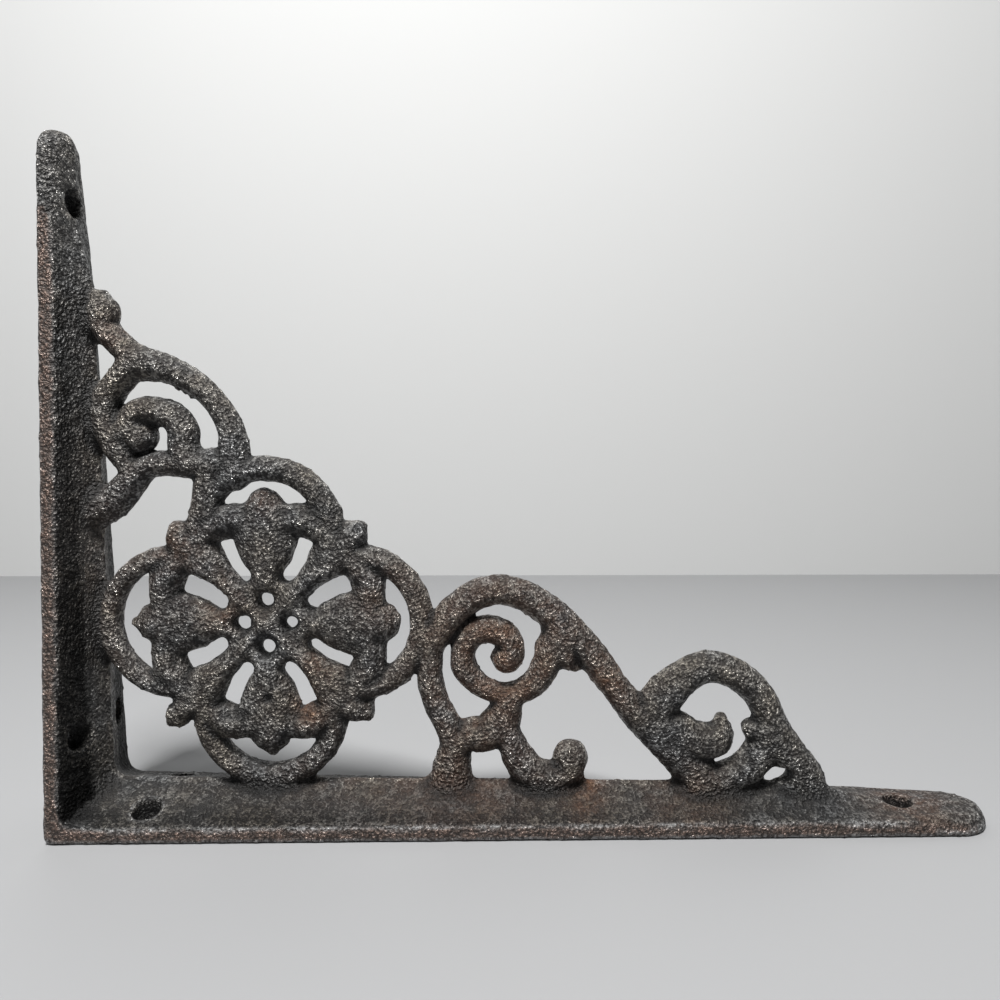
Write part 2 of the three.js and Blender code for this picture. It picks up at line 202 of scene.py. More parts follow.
# Rosette: four lobes, each with a ring as (out, width), and with a hole in its plate as (radius,
# where it starts). A ring turns this many degrees to each side.
ROSE_CENTRE = np.array([44.6, 44.5])
LOBE_RADIUS = 15.2
LOBES = [(19.5, 5.0), (19.4, 5.2), (20.9, 4.3), (20.2, 4.8)]
LOBE_HOLES = [(13.0, 26.1), (12.9, 26.4), (13.2, 26.0), (12.8, 26.1)]
LOBE_HOLE_CORNER = 1.6
RING_HALF_TURN = 96
RING_POINTS = 17

# Petals, drawn as (out, side, width) and turned round the centre of the rosette
QUARTER_PETAL = [
    (1, 0, 3.8), (6, 0, 6.0), (10.7, 0, 7.6), (15.2, 0, 11.4), (19.3, 0, 15.0), (22.4, 0, 15.0),
    (25.2, 0, 9.0),
]
PETAL_TIPS = [
    [(25.4, 0.2, 6.6), (26.6, 0.2, 4.8), (27.6, 0.2, 3.0), (28.4, 0.2, 1.8)],
    [(25.4, 0.4, 4.4), (28.2, 0.4, 3.8)],
    [(25.4, 0, 6.4), (27.2, 0, 4.4), (29.0, 0, 2.4), (30.2, 0, 1.4)],
    [(25.6, 0.3, 6.6), (27.2, 0.3, 4.8), (28.8, 0.3, 2.8), (29.8, 0.3, 1.4)],
]
DIAGONAL_PETAL = [
    (0, 0, 4.4), (5, 0, 4.6), (10.2, 0, 5.0), (15.2, 0, 7.8), (20.3, 0, 10.8), (24.4, 0, 9.2),
    (26.6, 0, 7.0),
]
# Shoulder that runs from the rim of a lobe in to the petal, on both sides of it
SHOULDER = [(20.0, 13.2, 5.6), (22.4, 10.4, 6.6), (23.4, 6.4, 5.8), (23.0, 2.4, 3.6)]

# Square stubs on the diagonals: the outer corner of each
STUBS = [(67.0, 67.0), (23.3, 67.2), (21.2, 20.9), (68.0, 22.4)]
STUB_SIDE = 4.4
STUB_HALF_DEPTH = 0.42 * BAR_DEPTH
STUB_CORNER = 1.0
STUB_EDGE = 2.0
STUB_BLEND = 1.1

# Slots beside each quarter petal, anticlockwise side then clockwise side, as widths
SLOT_LINE = [(10.6, 4.9, 0.9), (13.4, 6.9, 1.0), (18.7, 9.1, 1.12)]
SLOT_WIDTHS = [(3.8, 2.9), (3.3, 3.3), (3.7, 4.3), (3.8, 3.6)]
# Trough that carries each slot on towards the shoulder of its petal
TROUGH_LINE = [(10.0, 4.6, 1.8), (13.4, 6.9, 2.0), (17.6, 8.9, 2.4), (20.4, 8.8, 2.0)]
TROUGH_CLOSED = 2.0
TROUGH_FLARE = 2.3

# The dent in the lowest petal as (along, up, radius), and the eyes as (out, radius)
DENT = (45.0, 28.0, 1.0)
EYES = [(5.3, 1.4), (5.2, 1.55), (5.3, 1.65), (5.4, 1.6)]

# Skin: one face is about this long, and the grid goes on this far round the casting
SKIN_GRID = 0.72
SKIN_MARGIN = 1.3

# Steps to the four corners of one side of a cell, in order round it
ROUND_A_CELL = ((0, 0), (1, 0), (1, 1), (0, 1))

# Corners of the grid that are put just inside or outside, so that the skin never touches itself
PARTING_ROUNDS = 12
PARTED = 0.02

# Evening the faces out, and putting each point back on the surface
RELAX_ROUNDS = 2
RELAX_SHARE = 0.5
TRIAL_STEP = 0.02
LONGEST_STEP = 0.5
LEAST_GRADE = 0.05
TINY = 1e-6

# Marks that the skin carries for the iron, by name
HOLLOW = "hollow"
ARM_SIDE = "arm_side"
STAIN = "stain"
# Painted shade on the arms' slopes and in the screw holes
PAINTED_SHADE = "painted_shade"
# Edges made bright, partly by wear and partly as a painted highlight
WORN_LIT_EDGE = "worn_lit_edge"

# A hollow is judged against its surroundings, which are this many rounds of averaging
HOLLOW_STEPS = 8

# How squarely a face of an arm looks sideways where its side begins, and where it is fully side
SIDE_BEGINS = 0.65
SIDE_FULL = 0.90

# Share of the short arm's painted shade that is lost on the way up to its tip
SHADE_LOST = 0.60

# Painted shade in a screw hole, which begins this far outside its rim and grows over this width
HOLE_SHADE = 0.65
HOLE_SHADE_START = 0.45
HOLE_SHADE_WIDTH = 0.5

# Bright edges, partly worn and partly a painted highlight: how far a crest stands out where the
# brightness begins and over how much more it grows, and how far from the middle it may begin, in depths
# of the bar
WEAR_AND_HIGHLIGHT_START = 0.27
WEAR_AND_HIGHLIGHT_GROWTH = 0.16
WEAR_AND_HIGHLIGHT_OFF_BAR = 0.7

# Rust stains as (along, up, radius, strength)
STAINS = [
    (54.0, 25.5, 3.2, 1.0), (115.5, 7.0, 4.0, 1.0), (98.0, 38.0, 16.0, 0.60), (121.0, 32.0, 6.0, 0.6),
    (36.0, 49.0, 5.0, 0.35), (56.5, 36.0, 4.0, 0.4), (70.0, 52.0, 7.0, 0.3), (187.0, 5.0, 9.0, 0.5),
    (137.0, 3.0, 9.0, 0.45), (90.0, 3.0, 12.0, 0.4), (3.0, 60.0, 30.0, 0.15), (26.0, 62.0, 5.0, 0.3),
    (12.0, 108.0, 5.0, 0.3), (45.0, 72.0, 3.0, 0.4), (76.0, 2.0, 30.0, 0.2),
]

# Sand: long waves, grain, and pits at places that the seed chooses
SAND_SIZES = {
    "Wave size": 7.0 * MM, "Wave height": 0.30 * MM,
    "Grain size": 1.5 * MM, "Grain height": 0.34 * MM,
    "Pit spacing": 2.6 * MM, "Pit width": 0.75 * MM, "Pit depth": 0.30 * MM,
}
SAND_SEED = 11
WAVE_DETAIL = 1.0
GRAIN_DETAIL = 2.0
PIT_DENSITY = 90000.0
PIT_STEEPNESS = 1.5

# Noises in the iron as (size of its lumps, detail, roughness)
FINE_NOISE = (0.66 * MM, 2.0, 0.60)
LUMPS = (1.9 * MM, 1.0, 0.5)
BLOTCHES = (4.5 * MM, 3.0, 0.6)
PATCHES = (13 * MM, 3.0, 0.6)

# Relief of the iron: the fine noise, with grains of sand and lumps added in these shares
SAND_GRAIN = 0.68 * MM
SAND_RELIEF = -0.45
LUMP_RELIEF = 0.84
RELIEF_OFFSET = -0.20
RELIEF_HEIGHT = 1.15 * MM

# Dark iron between the crests as ramps of (value, colour)
BODY = [(0.38, (0.013, 0.0135, 0.0145)), (0.62, (0.031, 0.0255, 0.0205))]
BODY_RUST = [(0.3, (0.070, 0.028, 0.012)), (0.7, (0.20, 0.085, 0.035))]
BODY_SIDE = [(0.3, (0.026, 0.018, 0.014)), (0.7, (0.088, 0.058, 0.044))]
# Near-black painted shade, laid on where the shade mark says
BODY_IN_SHADE = [(0.35, 0.003), (0.65, 0.020)]

# Bright iron on the crests, partly worn metal and partly painted glint, and on the edges, partly worn
# and partly a painted highlight
WORN_GLINT = [(0.35, (0.312, 0.316, 0.318)), (0.65, (0.302, 0.276, 0.238))]
WORN_GLINT_RUST = [(0.3, (0.20, 0.105, 0.055)), (0.7, (0.34, 0.20, 0.12))]
WORN_GLINT_SIDE = [(0.3, (0.150, 0.102, 0.082)), (0.7, (0.270, 0.190, 0.155))]
EDGE_GREY = [(0.3, 0.22), (0.7, 0.42)]

# How far each shows, as ramps of (value, share)
STAIN_IN_BLOTCHES = [(0.36, 0.35), (0.58, 1.0)]
CREST_OF_RELIEF = [(0.44, 0.0), (0.68, 1.0)]
CREST_BY_DEPTH = [(0.10, 1.0), (0.45, 0.75), (0.72, 0.12)]
# Crests dim under the painted shade
CREST_BY_SHADE = [(0.0, 1.0), (0.6, 0.80), (1.0, 0.22)]
EDGE_IN_GRAIN = [(0.38, 0.1), (0.60, 1.0)]
# Painted shade: the colour darkens deep in hollows
SHADE_BY_DEPTH = [(0.15, 1.0), (0.45, 0.78), (0.68, 0.18)]
# Painted shade: how far the whole colour is darkened under the shade mark
DARKENING_IN_SHADE = [(0.0, 1.0), (1.0, 0.42)]

# Share of the crests that the sides of the arms lose
CREST_LOST_ON_SIDE = 0.15

# Shine
ROUGHNESS = [(0.0, 0.62), (1.0, 0.23)]
METAL = [(0.0, 0.30), (1.0, 0.60)]
# Metal share under the painted shade: with its near-black colour this takes the shine off too, so the
# painted shade stays dark
METAL_IN_SHADE = 0.95
SHINE = 0.8

# Inputs and output of a colour mix, as Blender numbers them
MIX_A = 6
MIX_B = 7
MIXED = 2

# Room, in metres: a floor up to a wall behind the bracket
ROOM_REACH = 3
WALL_AT = 0.33
FLOOR_COLOUR = (0.300, 0.304, 0.312)
FLOOR_ROUGHNESS = 0.6
WALL_COLOUR = (0.578, 0.585, 0.585)
WALL_ROUGHNESS = 0.9
ROOM_COLOUR = (0.94, 0.96, 1.0)
ROOM_LIGHT = 0.06

# Lights as (place, size, power, colour), both turned towards the foot of the bracket
LIT_PLACE = (0, 0, 0.05)
LIGHTS = {
    "window": ((-0.10, -0.27, 0.79), (0.20, 0.16), 12.2, (1.0, 0.99, 0.975)),
    "fill": ((-0.25, -0.60, 0.45), (0.30, 0.25), 0.45, (0.97, 0.98, 1.0)),
}

# The camera stands close in front of the openwork, a little above its middle, and looks down
CAMERA_AT = (0.00124, -0.18027, 0.08496)
CAMERA_PITCH = 0.0733
CAMERA_YAW = -0.0330
CAMERA_ROLL = -0.0074
LENS = 29.52
SENSOR_WIDTH = 36.0
SEEN_FROM = 0.01
SEEN_TO = 20.0


# Forms: every form says how deep inside it a place is, in millimetres, and less than 0 is outside

def together(a, b, blend):
    """Two forms run into one, with the corner between them filled."""
    near = np.maximum(blend - np.abs(a - b), 0)
    return np.maximum(a, b) + near * near / (4 * blend)


def common(a, b, blend):
    """Only what two forms share, with the edge between them rounded."""
    return -together(-a, -b, blend)


def smooth_line(points):
    """A smooth line through rows of numbers, the first two of them a place: a centripetal spline."""
    points = np.array(points, float)
    points = np.vstack([2 * points[0] - points[1], points, 2 * points[-1] - points[-2]])
    steps = np.linalg.norm(np.diff(points[:, :2], axis=0), axis=1) ** 0.5
    knots = np.concatenate([[0], np.cumsum(steps)])
    line = []
    for i in range(1, len(points) - 2):
        span = np.linalg.norm(points[i + 1, :2] - points[i, :2])
        count = max(2, int(math.ceil(span / LINE_STEP)))
        t = np.linspace(knots[i], knots[i + 1], count, endpoint=False)[:, None]

        def between(a, b, low, high):
            return a * (high - t) / (high - low) + b * (t - low) / (high - low)

        k = knots[i - 1:i + 3]
        p = points[i - 1:i + 3]
        a = [between(p[j], p[j + 1], k[j], k[j + 1]) for j in range(3)]
        b = [between(a[j], a[j + 1], k[j], k[j + 2]) for j in range(2)]
        line.append(between(b[0], b[1], k[1], k[2]))
    return np.vstack([*line, points[-2:-1]])


class Bar:
    """A bar along a smooth line, with an oval section that follows its width."""

    def __init__(self, points):
        self.line = smooth_line(points)
        self.half = self.line[:, 2] / 2
        share = THIN_BAR_DEPTH + (1 - THIN_BAR_DEPTH) * self.line[:, 2] / BAR_WIDTH
        self.half_depth = BAR_DEPTH / 2 * np.minimum(1, share)
        reach = self.half.max() + LOOK_ROUND
        self.low = self.line[:, :2].min(0) - reach
        self.high = self.line[:, :2].max(0) + reach

    def near(self, x, z):
        return (x > self.low[0]) & (x < self.high[0]) & (z > self.low[1]) & (z < self.high[1])

    def section(self, x, z):
        """How far out across the bar each place lies, as a share of the half width there, and with
        it that half width and half depth."""
        away = (x[:, None] - self.line[:, 0]) ** 2 + (z[:, None] - self.line[:, 1]) ** 2
        nearest = away.argmin(1)
        half = self.half[nearest]
        out = np.sqrt(away[np.arange(len(x)), nearest])
        return out / half, half, self.half_depth[nearest]

    def add_to(self, field, x, z, y):
        near = self.near(x, z)
        if near.any():
            out, half, depth = self.section(x[near], z[near])
            round_out = np.sqrt(out[:, None] ** 2 + (y[near] / depth[:, None]) ** 2)
            inside = (1 - round_out) * np.minimum(half, depth)[:, None]
            field[near] = together(field[near], inside, BAR_BLEND)

    def past_end(self, x, z):
        """How far past the end of the line each place lies, along the way the line ends."""
        end = self.line[-1, :2]
        way = end - self.line[-4, :2]
        way /= np.linalg.norm(way)
        return (x - end[0]) * way[0] + (z - end[1]) * way[1]

    def cut_from(self, field, x, z, y, flare, closed=0.0, blunt=False):
        """Cuts the line out as a slot, which opens towards both faces. With a closed middle it is
        only a trough in each face. A blunt slot ends square, the others end round."""
        near = self.near(x, z)
        if near.any():
            out, half, _ = self.section(x[near], z[near])
            opening = half[:, None] - closed + flare * (y[near] / (BAR_DEPTH / 2)) ** 2
            inside = opening - (out * half)[:, None]
            if blunt:
                end = opening - half[:, None] - self.past_end(x[near], z[near])[:, None]
                inside = common(inside, end, SLOT_END_EDGE)
            field[near] = common(field[near], -inside, HOLE_EDGE)


def turned(points, quarter_turns):
    """Turns rows of (out, side, ...) into places round the rosette's centre."""
    angle = quarter_turns * math.pi / 2
    made = []
    for out, side, *rest in points:
        x = ROSE_CENTRE[0] + out * math.cos(angle) - side * math.sin(angle)
        z = ROSE_CENTRE[1] + out * math.sin(angle) + side * math.cos(angle)
        made.append((x, z, *rest))
    return made


def both_sides(points, quarter_turns):
    """Two bars: the rows of (out, side, width) as given, and the same on the other side."""
    return [
        Bar(turned([(out, half * side, width) for out, side, width in points], quarter_turns))
        for half in (1, -1)
    ]


def ring(out, width, quarter_turns):
    """The bar round a lobe, from one side of it over the outside to the other."""
    angles = np.radians(np.linspace(-RING_HALF_TURN, RING_HALF_TURN, RING_POINTS))
    arc = [(out + LOBE_RADIUS * math.cos(a), LOBE_RADIUS * math.sin(a), width) for a in angles]
    return Bar(turned(arc, quarter_turns))


def knob(along, up, radius):
    return Bar([(along, up, 2 * radius), (along + DOT, up, 2 * radius)])


def slots(widths, quarter_turns):
    """The slots on the two sides of a quarter petal, each with its own width."""
    return [
        Bar(turned([(out, half * side, share * width) for out, side, share in SLOT_LINE], quarter_turns))
        for half, width in zip((1, -1), widths)
    ]


RINGS = [ring(out, width, i) for i, (out, width) in enumerate(LOBES)]
PETALS = [Bar(turned(QUARTER_PETAL, i)) for i in range(4)]
TIPS = [Bar(turned(tip, i)) for i, tip in enumerate(PETAL_TIPS)]
DIAGONALS = [Bar(turned(DIAGONAL_PETAL, i + 0.5)) for i in range(4)]
SHOULDERS = [bar for i in range(4) for bar in both_sides(SHOULDER, i)]
TROUGHS = [bar for i in range(4) for bar in both_sides(TROUGH_LINE, i)]
SLOTS = [bar for i, widths in enumerate(SLOT_WIDTHS) for bar in slots(widths, i)]
EYE_HOLES = [
    Bar(turned([(out, 0, 2 * radius), (out + DOT, 0, 2 * radius)], i))
    for i, (out, radius) in enumerate(EYES)
]
SCROLL_BARS = [
    Bar(points) for scroll in (UPPER_SCROLL, SECOND_SCROLL, THIRD_SCROLL)
    for points in scroll.values()
] + [knob(*UPPER_KNOB), knob(*COIL_KNOB), knob(*HOOK_KNOB)]
PETAL_DENT = knob(*DENT)
FOOT_OPENING = Bar(FOOT_HOLE)


def stub(x, z, y, corner):
    """A small square block whose outer corner is given."""
    half = STUB_SIDE / 2
    middle = corner + np.sign(ROSE_CENTRE - corner) * half
    square = common(half - np.abs(x - middle[0]), half - np.abs(z - middle[1]), STUB_CORNER)
    return common(square[:, None], STUB_HALF_DEPTH - np.abs(y), STUB_EDGE)


def lobe_plate(x, z, y, out, quarter_turns):
    """The thin round plate that fills a lobe."""
    (middle_x, middle_z), = turned([(out, 0)], quarter_turns)
    away = np.hypot(x - middle_x, z - middle_z)
    return common((LOBE_RADIUS - away)[:, None], PLATE_DEPTH / 2 - np.abs(y), PLATE_EDGE)


def lobe_hole(x, z, out, radius, start, quarter_turns):
    """The hole in a lobe: a circle cut off straight on the side of the petal."""
    (middle_x, middle_z), (ahead_x, ahead_z) = turned([(out, 0), (out + 1, 0)], quarter_turns)
    away = np.hypot(x - middle_x, z - middle_z)
    along = (x - ROSE_CENTRE[0]) * (ahead_x - middle_x) + (z - ROSE_CENTRE[1]) * (ahead_z - middle_z)
    return common(radius - away, along - start, LOBE_HOLE_CORNER)[:, None]


def rosette(x, z, y):
    field = np.full((len(x), y.shape[1]), FAR)
    for i, (out, _) in enumerate(LOBES):
        field = together(field, lobe_plate(x, z, y, out, i), BAR_BLEND)
    for i, ((out, _), (radius, start)) in enumerate(zip(LOBES, LOBE_HOLES)):
        field = common(field, -lobe_hole(x, z, out, radius, start, i), HOLE_EDGE)
    for bar in RINGS + SHOULDERS + DIAGONALS + PETALS + TIPS:
        bar.add_to(field, x, z, y)
    for corner in STUBS:
        field = together(field, stub(x, z, y, corner), STUB_BLEND)
    for slot in SLOTS:
        slot.cut_from(field, x, z, y, SLOT_FLARE, blunt=True)
    for trough in TROUGHS + [PETAL_DENT]:
        trough.cut_from(field, x, z, y, TROUGH_FLARE, TROUGH_CLOSED)
    for eye in EYE_HOLES:
        eye.cut_from(field, x, z, y, EYE_FLARE)
    return field


def half_width(arm, along):
    straight = HEEL_WIDTH + (arm["tip_width"] - HEEL_WIDTH) * along / arm["reach"]
    return straight / 2


def ridge_height(arm, along):
    """Level under the openwork, then sinking into the flat pad at the tip."""
    start, end = (arm["reach"] - share * arm["pad"] for share in RIDGE_FADE)
    faded = np.clip((along - start) / (end - start), 0, 1)
    faded = faded * faded * (3 - 2 * faded)
    return arm["ridge"] + (arm["pad_thickness"] - arm["ridge"]) * faded


def arm_form(arm, along, up, y):
    """An arm lying along its first measure: flat below, with two slopes up to a ridge."""
    half = half_width(arm, along)
    across = np.clip(1 - np.abs(y) / half, 0, 1)
    rise = (1 - SLOPE_BEND) * across + SLOPE_BEND * across ** 3
    top = EDGE_THICKNESS + (ridge_height(arm, along) - EDGE_THICKNESS) * rise
    tip_round = arm["tip_round"]
    into_tip = np.maximum(along - (arm["reach"] - tip_round), 0)
    off_side = np.maximum(np.abs(y) - (half - tip_round), 0)
    side = np.where(into_tip > 0, tip_round - np.hypot(into_tip, off_side), half - np.abs(y))
    start, end = arm["reach"] - TIP_EDGE_START, arm["reach"] - TIP_EDGE_FULL
    to_tip = np.clip((along - start) / (end - start), 0, 1)
    return common(side, (top - up) * SLOPE_LEAN, EDGE_ROUND + TIP_EDGE_GROWTH * to_tip)


def heel_corner(x, z):
    return HEEL_ROUND - np.hypot(np.maximum(HEEL_ROUND - x, 0), np.maximum(HEEL_ROUND - z, 0))


def arms(x, z, y):
    both = together(arm_form(LONG_ARM, x, z, y), arm_form(SHORT_ARM, z, x, y), HEEL_BLEND)
    side = np.maximum(half_width(LONG_ARM, x), half_width(SHORT_ARM, z)) - np.abs(y)
    both = common(both, side, SIDE_ROUND)
    return common(both, np.broadcast_to(heel_corner(x, z), both.shape), HEEL_EDGE)


def screw_holes(x, z, y):
    """How deep inside any screw hole."""
    deepest = np.full(np.broadcast(x, y).shape, FAR)
    for arm, along, up in ((LONG_ARM, x, z), (SHORT_ARM, z, x)):
        side = half_width(arm, arm["heel_holes"]) - HEEL_HOLE_INSET
        for at, out in ((arm["heel_holes"], side), (arm["reach"] - arm["tip_hole"], 0.0)):
            hole = SCREW_HOLE / 2 - np.hypot(along - at, np.abs(y) - out)
            deepest = np.maximum(deepest, np.where(up < SCREW_HOLE_REACH, hole, FAR))
    return deepest


def seam(x, z, y):
    """The thin fin that the two halves of the mould leave at Y = 0, and the flash on it."""
    uneven = SEAM_MIDDLE
    for share, along, up in SEAM_WAVES:
        uneven = uneven + share * np.sin(along * x + up * z)
    height = SEAM_HEIGHT * np.maximum(uneven, SEAM_LEAST)
    for along, up, radius, flash in FLASHES:
        height = height + flash * np.exp(-((x - along) ** 2 + (z - up) ** 2) / radius ** 2)
    return height[:, None] * np.exp(-(y / SEAM_WIDTH) ** 2)


def casting(x, z, y):
    """How deep inside the casting: x and z are n places, y is n rows of one or more distances."""
    openwork = rosette(x, z, y)
    for bar in SCROLL_BARS:
        bar.add_to(openwork, x, z, y)
    FOOT_OPENING.cut_from(openwork, x, z, y, FOOT_HOLE_FLARE)
    openwork += seam(x, z, y)
    x, z = x[:, None], z[:, None]
    field = together(arms(x, z, y), openwork, ROOT_BLEND)
    field = common(field, np.broadcast_to(heel_corner(x, z), field.shape), OPENWORK_HEEL_EDGE)
    return common(field, -screw_holes(x, z, y), SCREW_HOLE_EDGE)


# The skin over the casting

def part_corners(values):
    """Where solid meets solid only at the edge between two cells, fills or opens that edge."""
    for _ in range(PARTING_ROUNDS):
        changed = 0
        for a, b in ((0, 1), (0, 2), (1, 2)):
            quads = []
            for up_a, up_b in ROUND_A_CELL:
                window = [slice(None)] * 3
                window[a] = slice(up_a, values.shape[a] - 1 + up_a)
                window[b] = slice(up_b, values.shape[b] - 1 + up_b)
                quads.append(values[tuple(window)])
            signs = [q > 0 for q in quads]
            crossed = (signs[0] == signs[2]) & (signs[1] == signs[3]) & (signs[0] != signs[1])
            at = np.argwhere(crossed)
            if not len(at):
                continue
            corners = np.stack([q[crossed] for q in quads], 1)
            shift = np.array(ROUND_A_CELL)[np.abs(corners).argmin(1)]
            at[:, a] += shift[:, 0]
            at[:, b] += shift[:, 1]
            place = tuple(at.T)
            values[place] = -np.sign(values[place]) * PARTED
            changed += len(at)
        if not changed:
            break


def skin_faces(values):
    """Points and four-sided faces where the values on a grid cross zero, one point in each cell."""
    inside = values > 0
    cells = tuple(n - 1 for n in values.shape)
    total = np.zeros((math.prod(cells), 3))
    count = np.zeros(math.prod(cells))
    faces = []
    for axis in range(3):
        b, c = (axis + 1) % 3, (axis + 2) % 3
        ahead = [slice(None)] * 3
        here = [slice(None)] * 3
        ahead[axis], here[axis] = slice(1, None), slice(None, -1)
        crossing = inside[tuple(here)] != inside[tuple(ahead)]
        at = np.argwhere(crossing)
        start = values[tuple(here)][crossing]
        end = values[tuple(ahead)][crossing]
        place = at.astype(float)
        place[:, axis] += start / (start - end)
        corners = []
        for back_b, back_c in ROUND_A_CELL:
            cell = at.copy()
            cell[:, b] -= back_b
            cell[:, c] -= back_c
            number = np.ravel_multi_index(cell.T, cells)
            for k in range(3):
                total[:, k] += np.bincount(number, place[:, k], len(total))
            count += np.bincount(number, minlength=len(count))
            corners.append(number)
        found = np.stack(corners, 1)
        found[start > 0] = found[start > 0][:, ::-1]
        faces.append(found)
    used = np.flatnonzero(count)
    renumber = np.zeros(len(count), np.int64)
    renumber[used] = np.arange(len(used))
    return total[used] / count[used, None], renumber[np.vstack(faces)]


def neighbour_mean(values, faces):
    total = np.zeros_like(values)
    for step in (1, -1):
        others = np.roll(faces, step, 1).ravel()
        for k in range(values.shape[1]):
            total[:, k] += np.bincount(faces.ravel(), values[others, k], len(values))
    return total / (2 * np.bincount(faces.ravel(), minlength=len(values)))[:, None]


def to_surface(points):
    """Moves each point straight to where the casting's surface is, and says which way is out."""
    def depth(p):
        return casting(p[:, 0], p[:, 2], p[:, 1:2])[:, 0]

    here = depth(points)
    ahead = [depth(points + TRIAL_STEP * np.eye(3)[k]) for k in range(3)]
    grade = (np.stack(ahead, 1) - here[:, None]) / TRIAL_STEP
    step = -here / np.maximum((grade ** 2).sum(1), LEAST_GRADE)
    outward = -grade / np.maximum(np.linalg.norm(grade, axis=1), TINY)[:, None]
    return points + np.clip(step, -LONGEST_STEP, LONGEST_STEP)[:, None] * grade, outward


def relaxed(points, faces):
    """Evens the faces out, with every point kept on the surface, and says which way is out."""
    for _ in range(RELAX_ROUNDS):
        points = points + RELAX_SHARE * (neighbour_mean(points, faces) - points)
        points, outward = to_surface(points)
    return points, outward


def casting_on_grid():
    """Where the grid begins, and how deep inside the casting each of its corners lies."""
    rows_out = math.ceil((HEEL_WIDTH / 2 + SKIN_MARGIN) / SKIN_GRID) + 0.5
    low = np.array([-SKIN_MARGIN, -rows_out * SKIN_GRID, -SKIN_MARGIN])
    high = np.array([LONG_REACH, HEEL_WIDTH / 2, SHORT_REACH]) + SKIN_MARGIN
    counts = np.ceil((high - low) / SKIN_GRID).astype(int) + 1
    xs, ys, zs = (low[k] + SKIN_GRID * np.arange(counts[k]) for k in range(3))
    rows = np.broadcast_to(ys, (len(zs), len(ys)))
    values = np.empty(counts)
    for i, along in enumerate(xs):
        values[i] = casting(np.full(len(zs), along), zs, rows).T
    return low, values


# Marks on the skin

def hollows(points, faces, outward):
    """How far the skin about each point stands above it: more than 0 in a hollow, less on a crest."""
    level = points
    for _ in range(HOLLOW_STEPS):
        level = neighbour_mean(level, faces)
    return ((level - points) * outward).sum(1)


def arm_sides(points, outward):
    """1 on the upright sides of the arms, falling to 0 where they round into the slopes."""
    facing = (np.abs(outward[:, 1]) - SIDE_BEGINS) / (SIDE_FULL - SIDE_BEGINS)
    return (np.abs(points[:, 1]) > BAR_DEPTH) * np.clip(facing, 0, 1)


def stains(points):
    """How stained with rust each point is, from 0 to 1."""
    stained = np.zeros(len(points))
    for along, up, radius, strength in STAINS:
        away = (points[:, 0] - along) ** 2 + (points[:, 2] - up) ** 2
        stained += strength * np.exp(-away / radius ** 2)
    return np.clip(stained, 0, 1)


def by_arm(points, of_long_arm, of_short_arm):
    """The one value nearer the long arm, and the other nearer the short arm."""
    return np.where(points[:, 2] > points[:, 0], of_short_arm, of_long_arm)


def painted_shade(points):
    """Painted shade on the slopes of the arms: darkest on the short arm, near the heel."""
    off_bar = np.abs(points[:, 1]) - BAR_DEPTH / 2
    on_long, on_short = (
        arm["painted_shade"] * np.clip(off_bar / arm["shade_fade"], 0, 1) for arm in (LONG_ARM, SHORT_ARM)
    )
    return by_arm(points, on_long, on_short * (1 - SHADE_LOST * points[:, 2] / SHORT_REACH))


def bored(points):
    """Painted shade in the screw holes: fully on their walls, falling to 0 just outside their rims."""
    inside = screw_holes(points[:, :1], points[:, 2:], points[:, 1:2])[:, 0]
    return np.clip((inside + HOLE_SHADE_START) / HOLE_SHADE_WIDTH, 0, HOLE_SHADE)


def worn_lit_edges(points, hollow):
    """Where the sharp edges of the arms are bright: partly rubbed, partly a painted highlight."""
    rubbed_and_lit = np.clip((-hollow - WEAR_AND_HIGHLIGHT_START) / WEAR_AND_HIGHLIGHT_GROWTH, 0, 1)
    off_bar = np.abs(points[:, 1]) > WEAR_AND_HIGHLIGHT_OFF_BAR * BAR_DEPTH
    return rubbed_and_lit * off_bar * by_arm(points, LONG_ARM["edge_wear_and_highlight"], SHORT_ARM["edge_wear_and_highlight"])


def skin_marks(points, faces, outward):
    hollow = hollows(points, faces, outward)
    side = arm_sides(points, outward)
    # Painted shade in the screw holes, which also keeps the bright edges out of them
    hole = bored(points)
    return {
        HOLLOW: hollow,
        ARM_SIDE: side,
        STAIN: stains(points),
        PAINTED_SHADE: np.maximum(painted_shade(points) * (1 - side), hole),
        WORN_LIT_EDGE: worn_lit_edges(points, hollow) * (1 - hole),
    }


def cast_skin():
    low, values = casting_on_grid()
    part_corners(values)
    points, faces = skin_faces(values)
    points, outward = relaxed(low + points * SKIN_GRID, faces)
    mesh = bpy.data.meshes.new("bracket_casting")
    mesh.from_pydata((points * MM + HEEL).tolist(), [], faces.tolist())
    for name, strengths in skin_marks(points, faces, outward).items():
        mark = mesh.attributes.new(name, "FLOAT", "POINT")
        mark.data.foreach_set("value", strengths.astype(np.float32))
    piece = bpy.data.objects.new("bracket_casting", mesh)
    bpy.context.scene.collection.objects.link(piece)
    return piece


# Nodes

def feed(tree, node, inputs):
    """Gives inputs of a node, by name or by number, a plain value or what another node gives."""
    for name, value in inputs.items():
        if isinstance(value, bpy.types.NodeSocket):
            tree.links.new(value, node.inputs[name])
        else:
            node.inputs[name].default_value = value


def add_node(tree, kind, inputs):
    node = tree.nodes.new(kind)
    feed(tree, node, inputs)
    return node


def calc(tree, operation, *values):
    node = add_node(tree, "ShaderNodeMath", dict(enumerate(values)))
    node.operation = operation
    return node.outputs[0]


# Sand grain, made by nodes

def sand_sockets(tree):
    face = tree.interface
    face.new_socket("Casting", in_out="INPUT", socket_type="NodeSocketGeometry")
    for name in SAND_SIZES:
        face.new_socket(name, in_out="INPUT", socket_type="NodeSocketFloat")
    face.new_socket("Seed", in_out="INPUT", socket_type="NodeSocketInt")
    face.new_socket("Casting", in_out="OUTPUT", socket_type="NodeSocketGeometry")


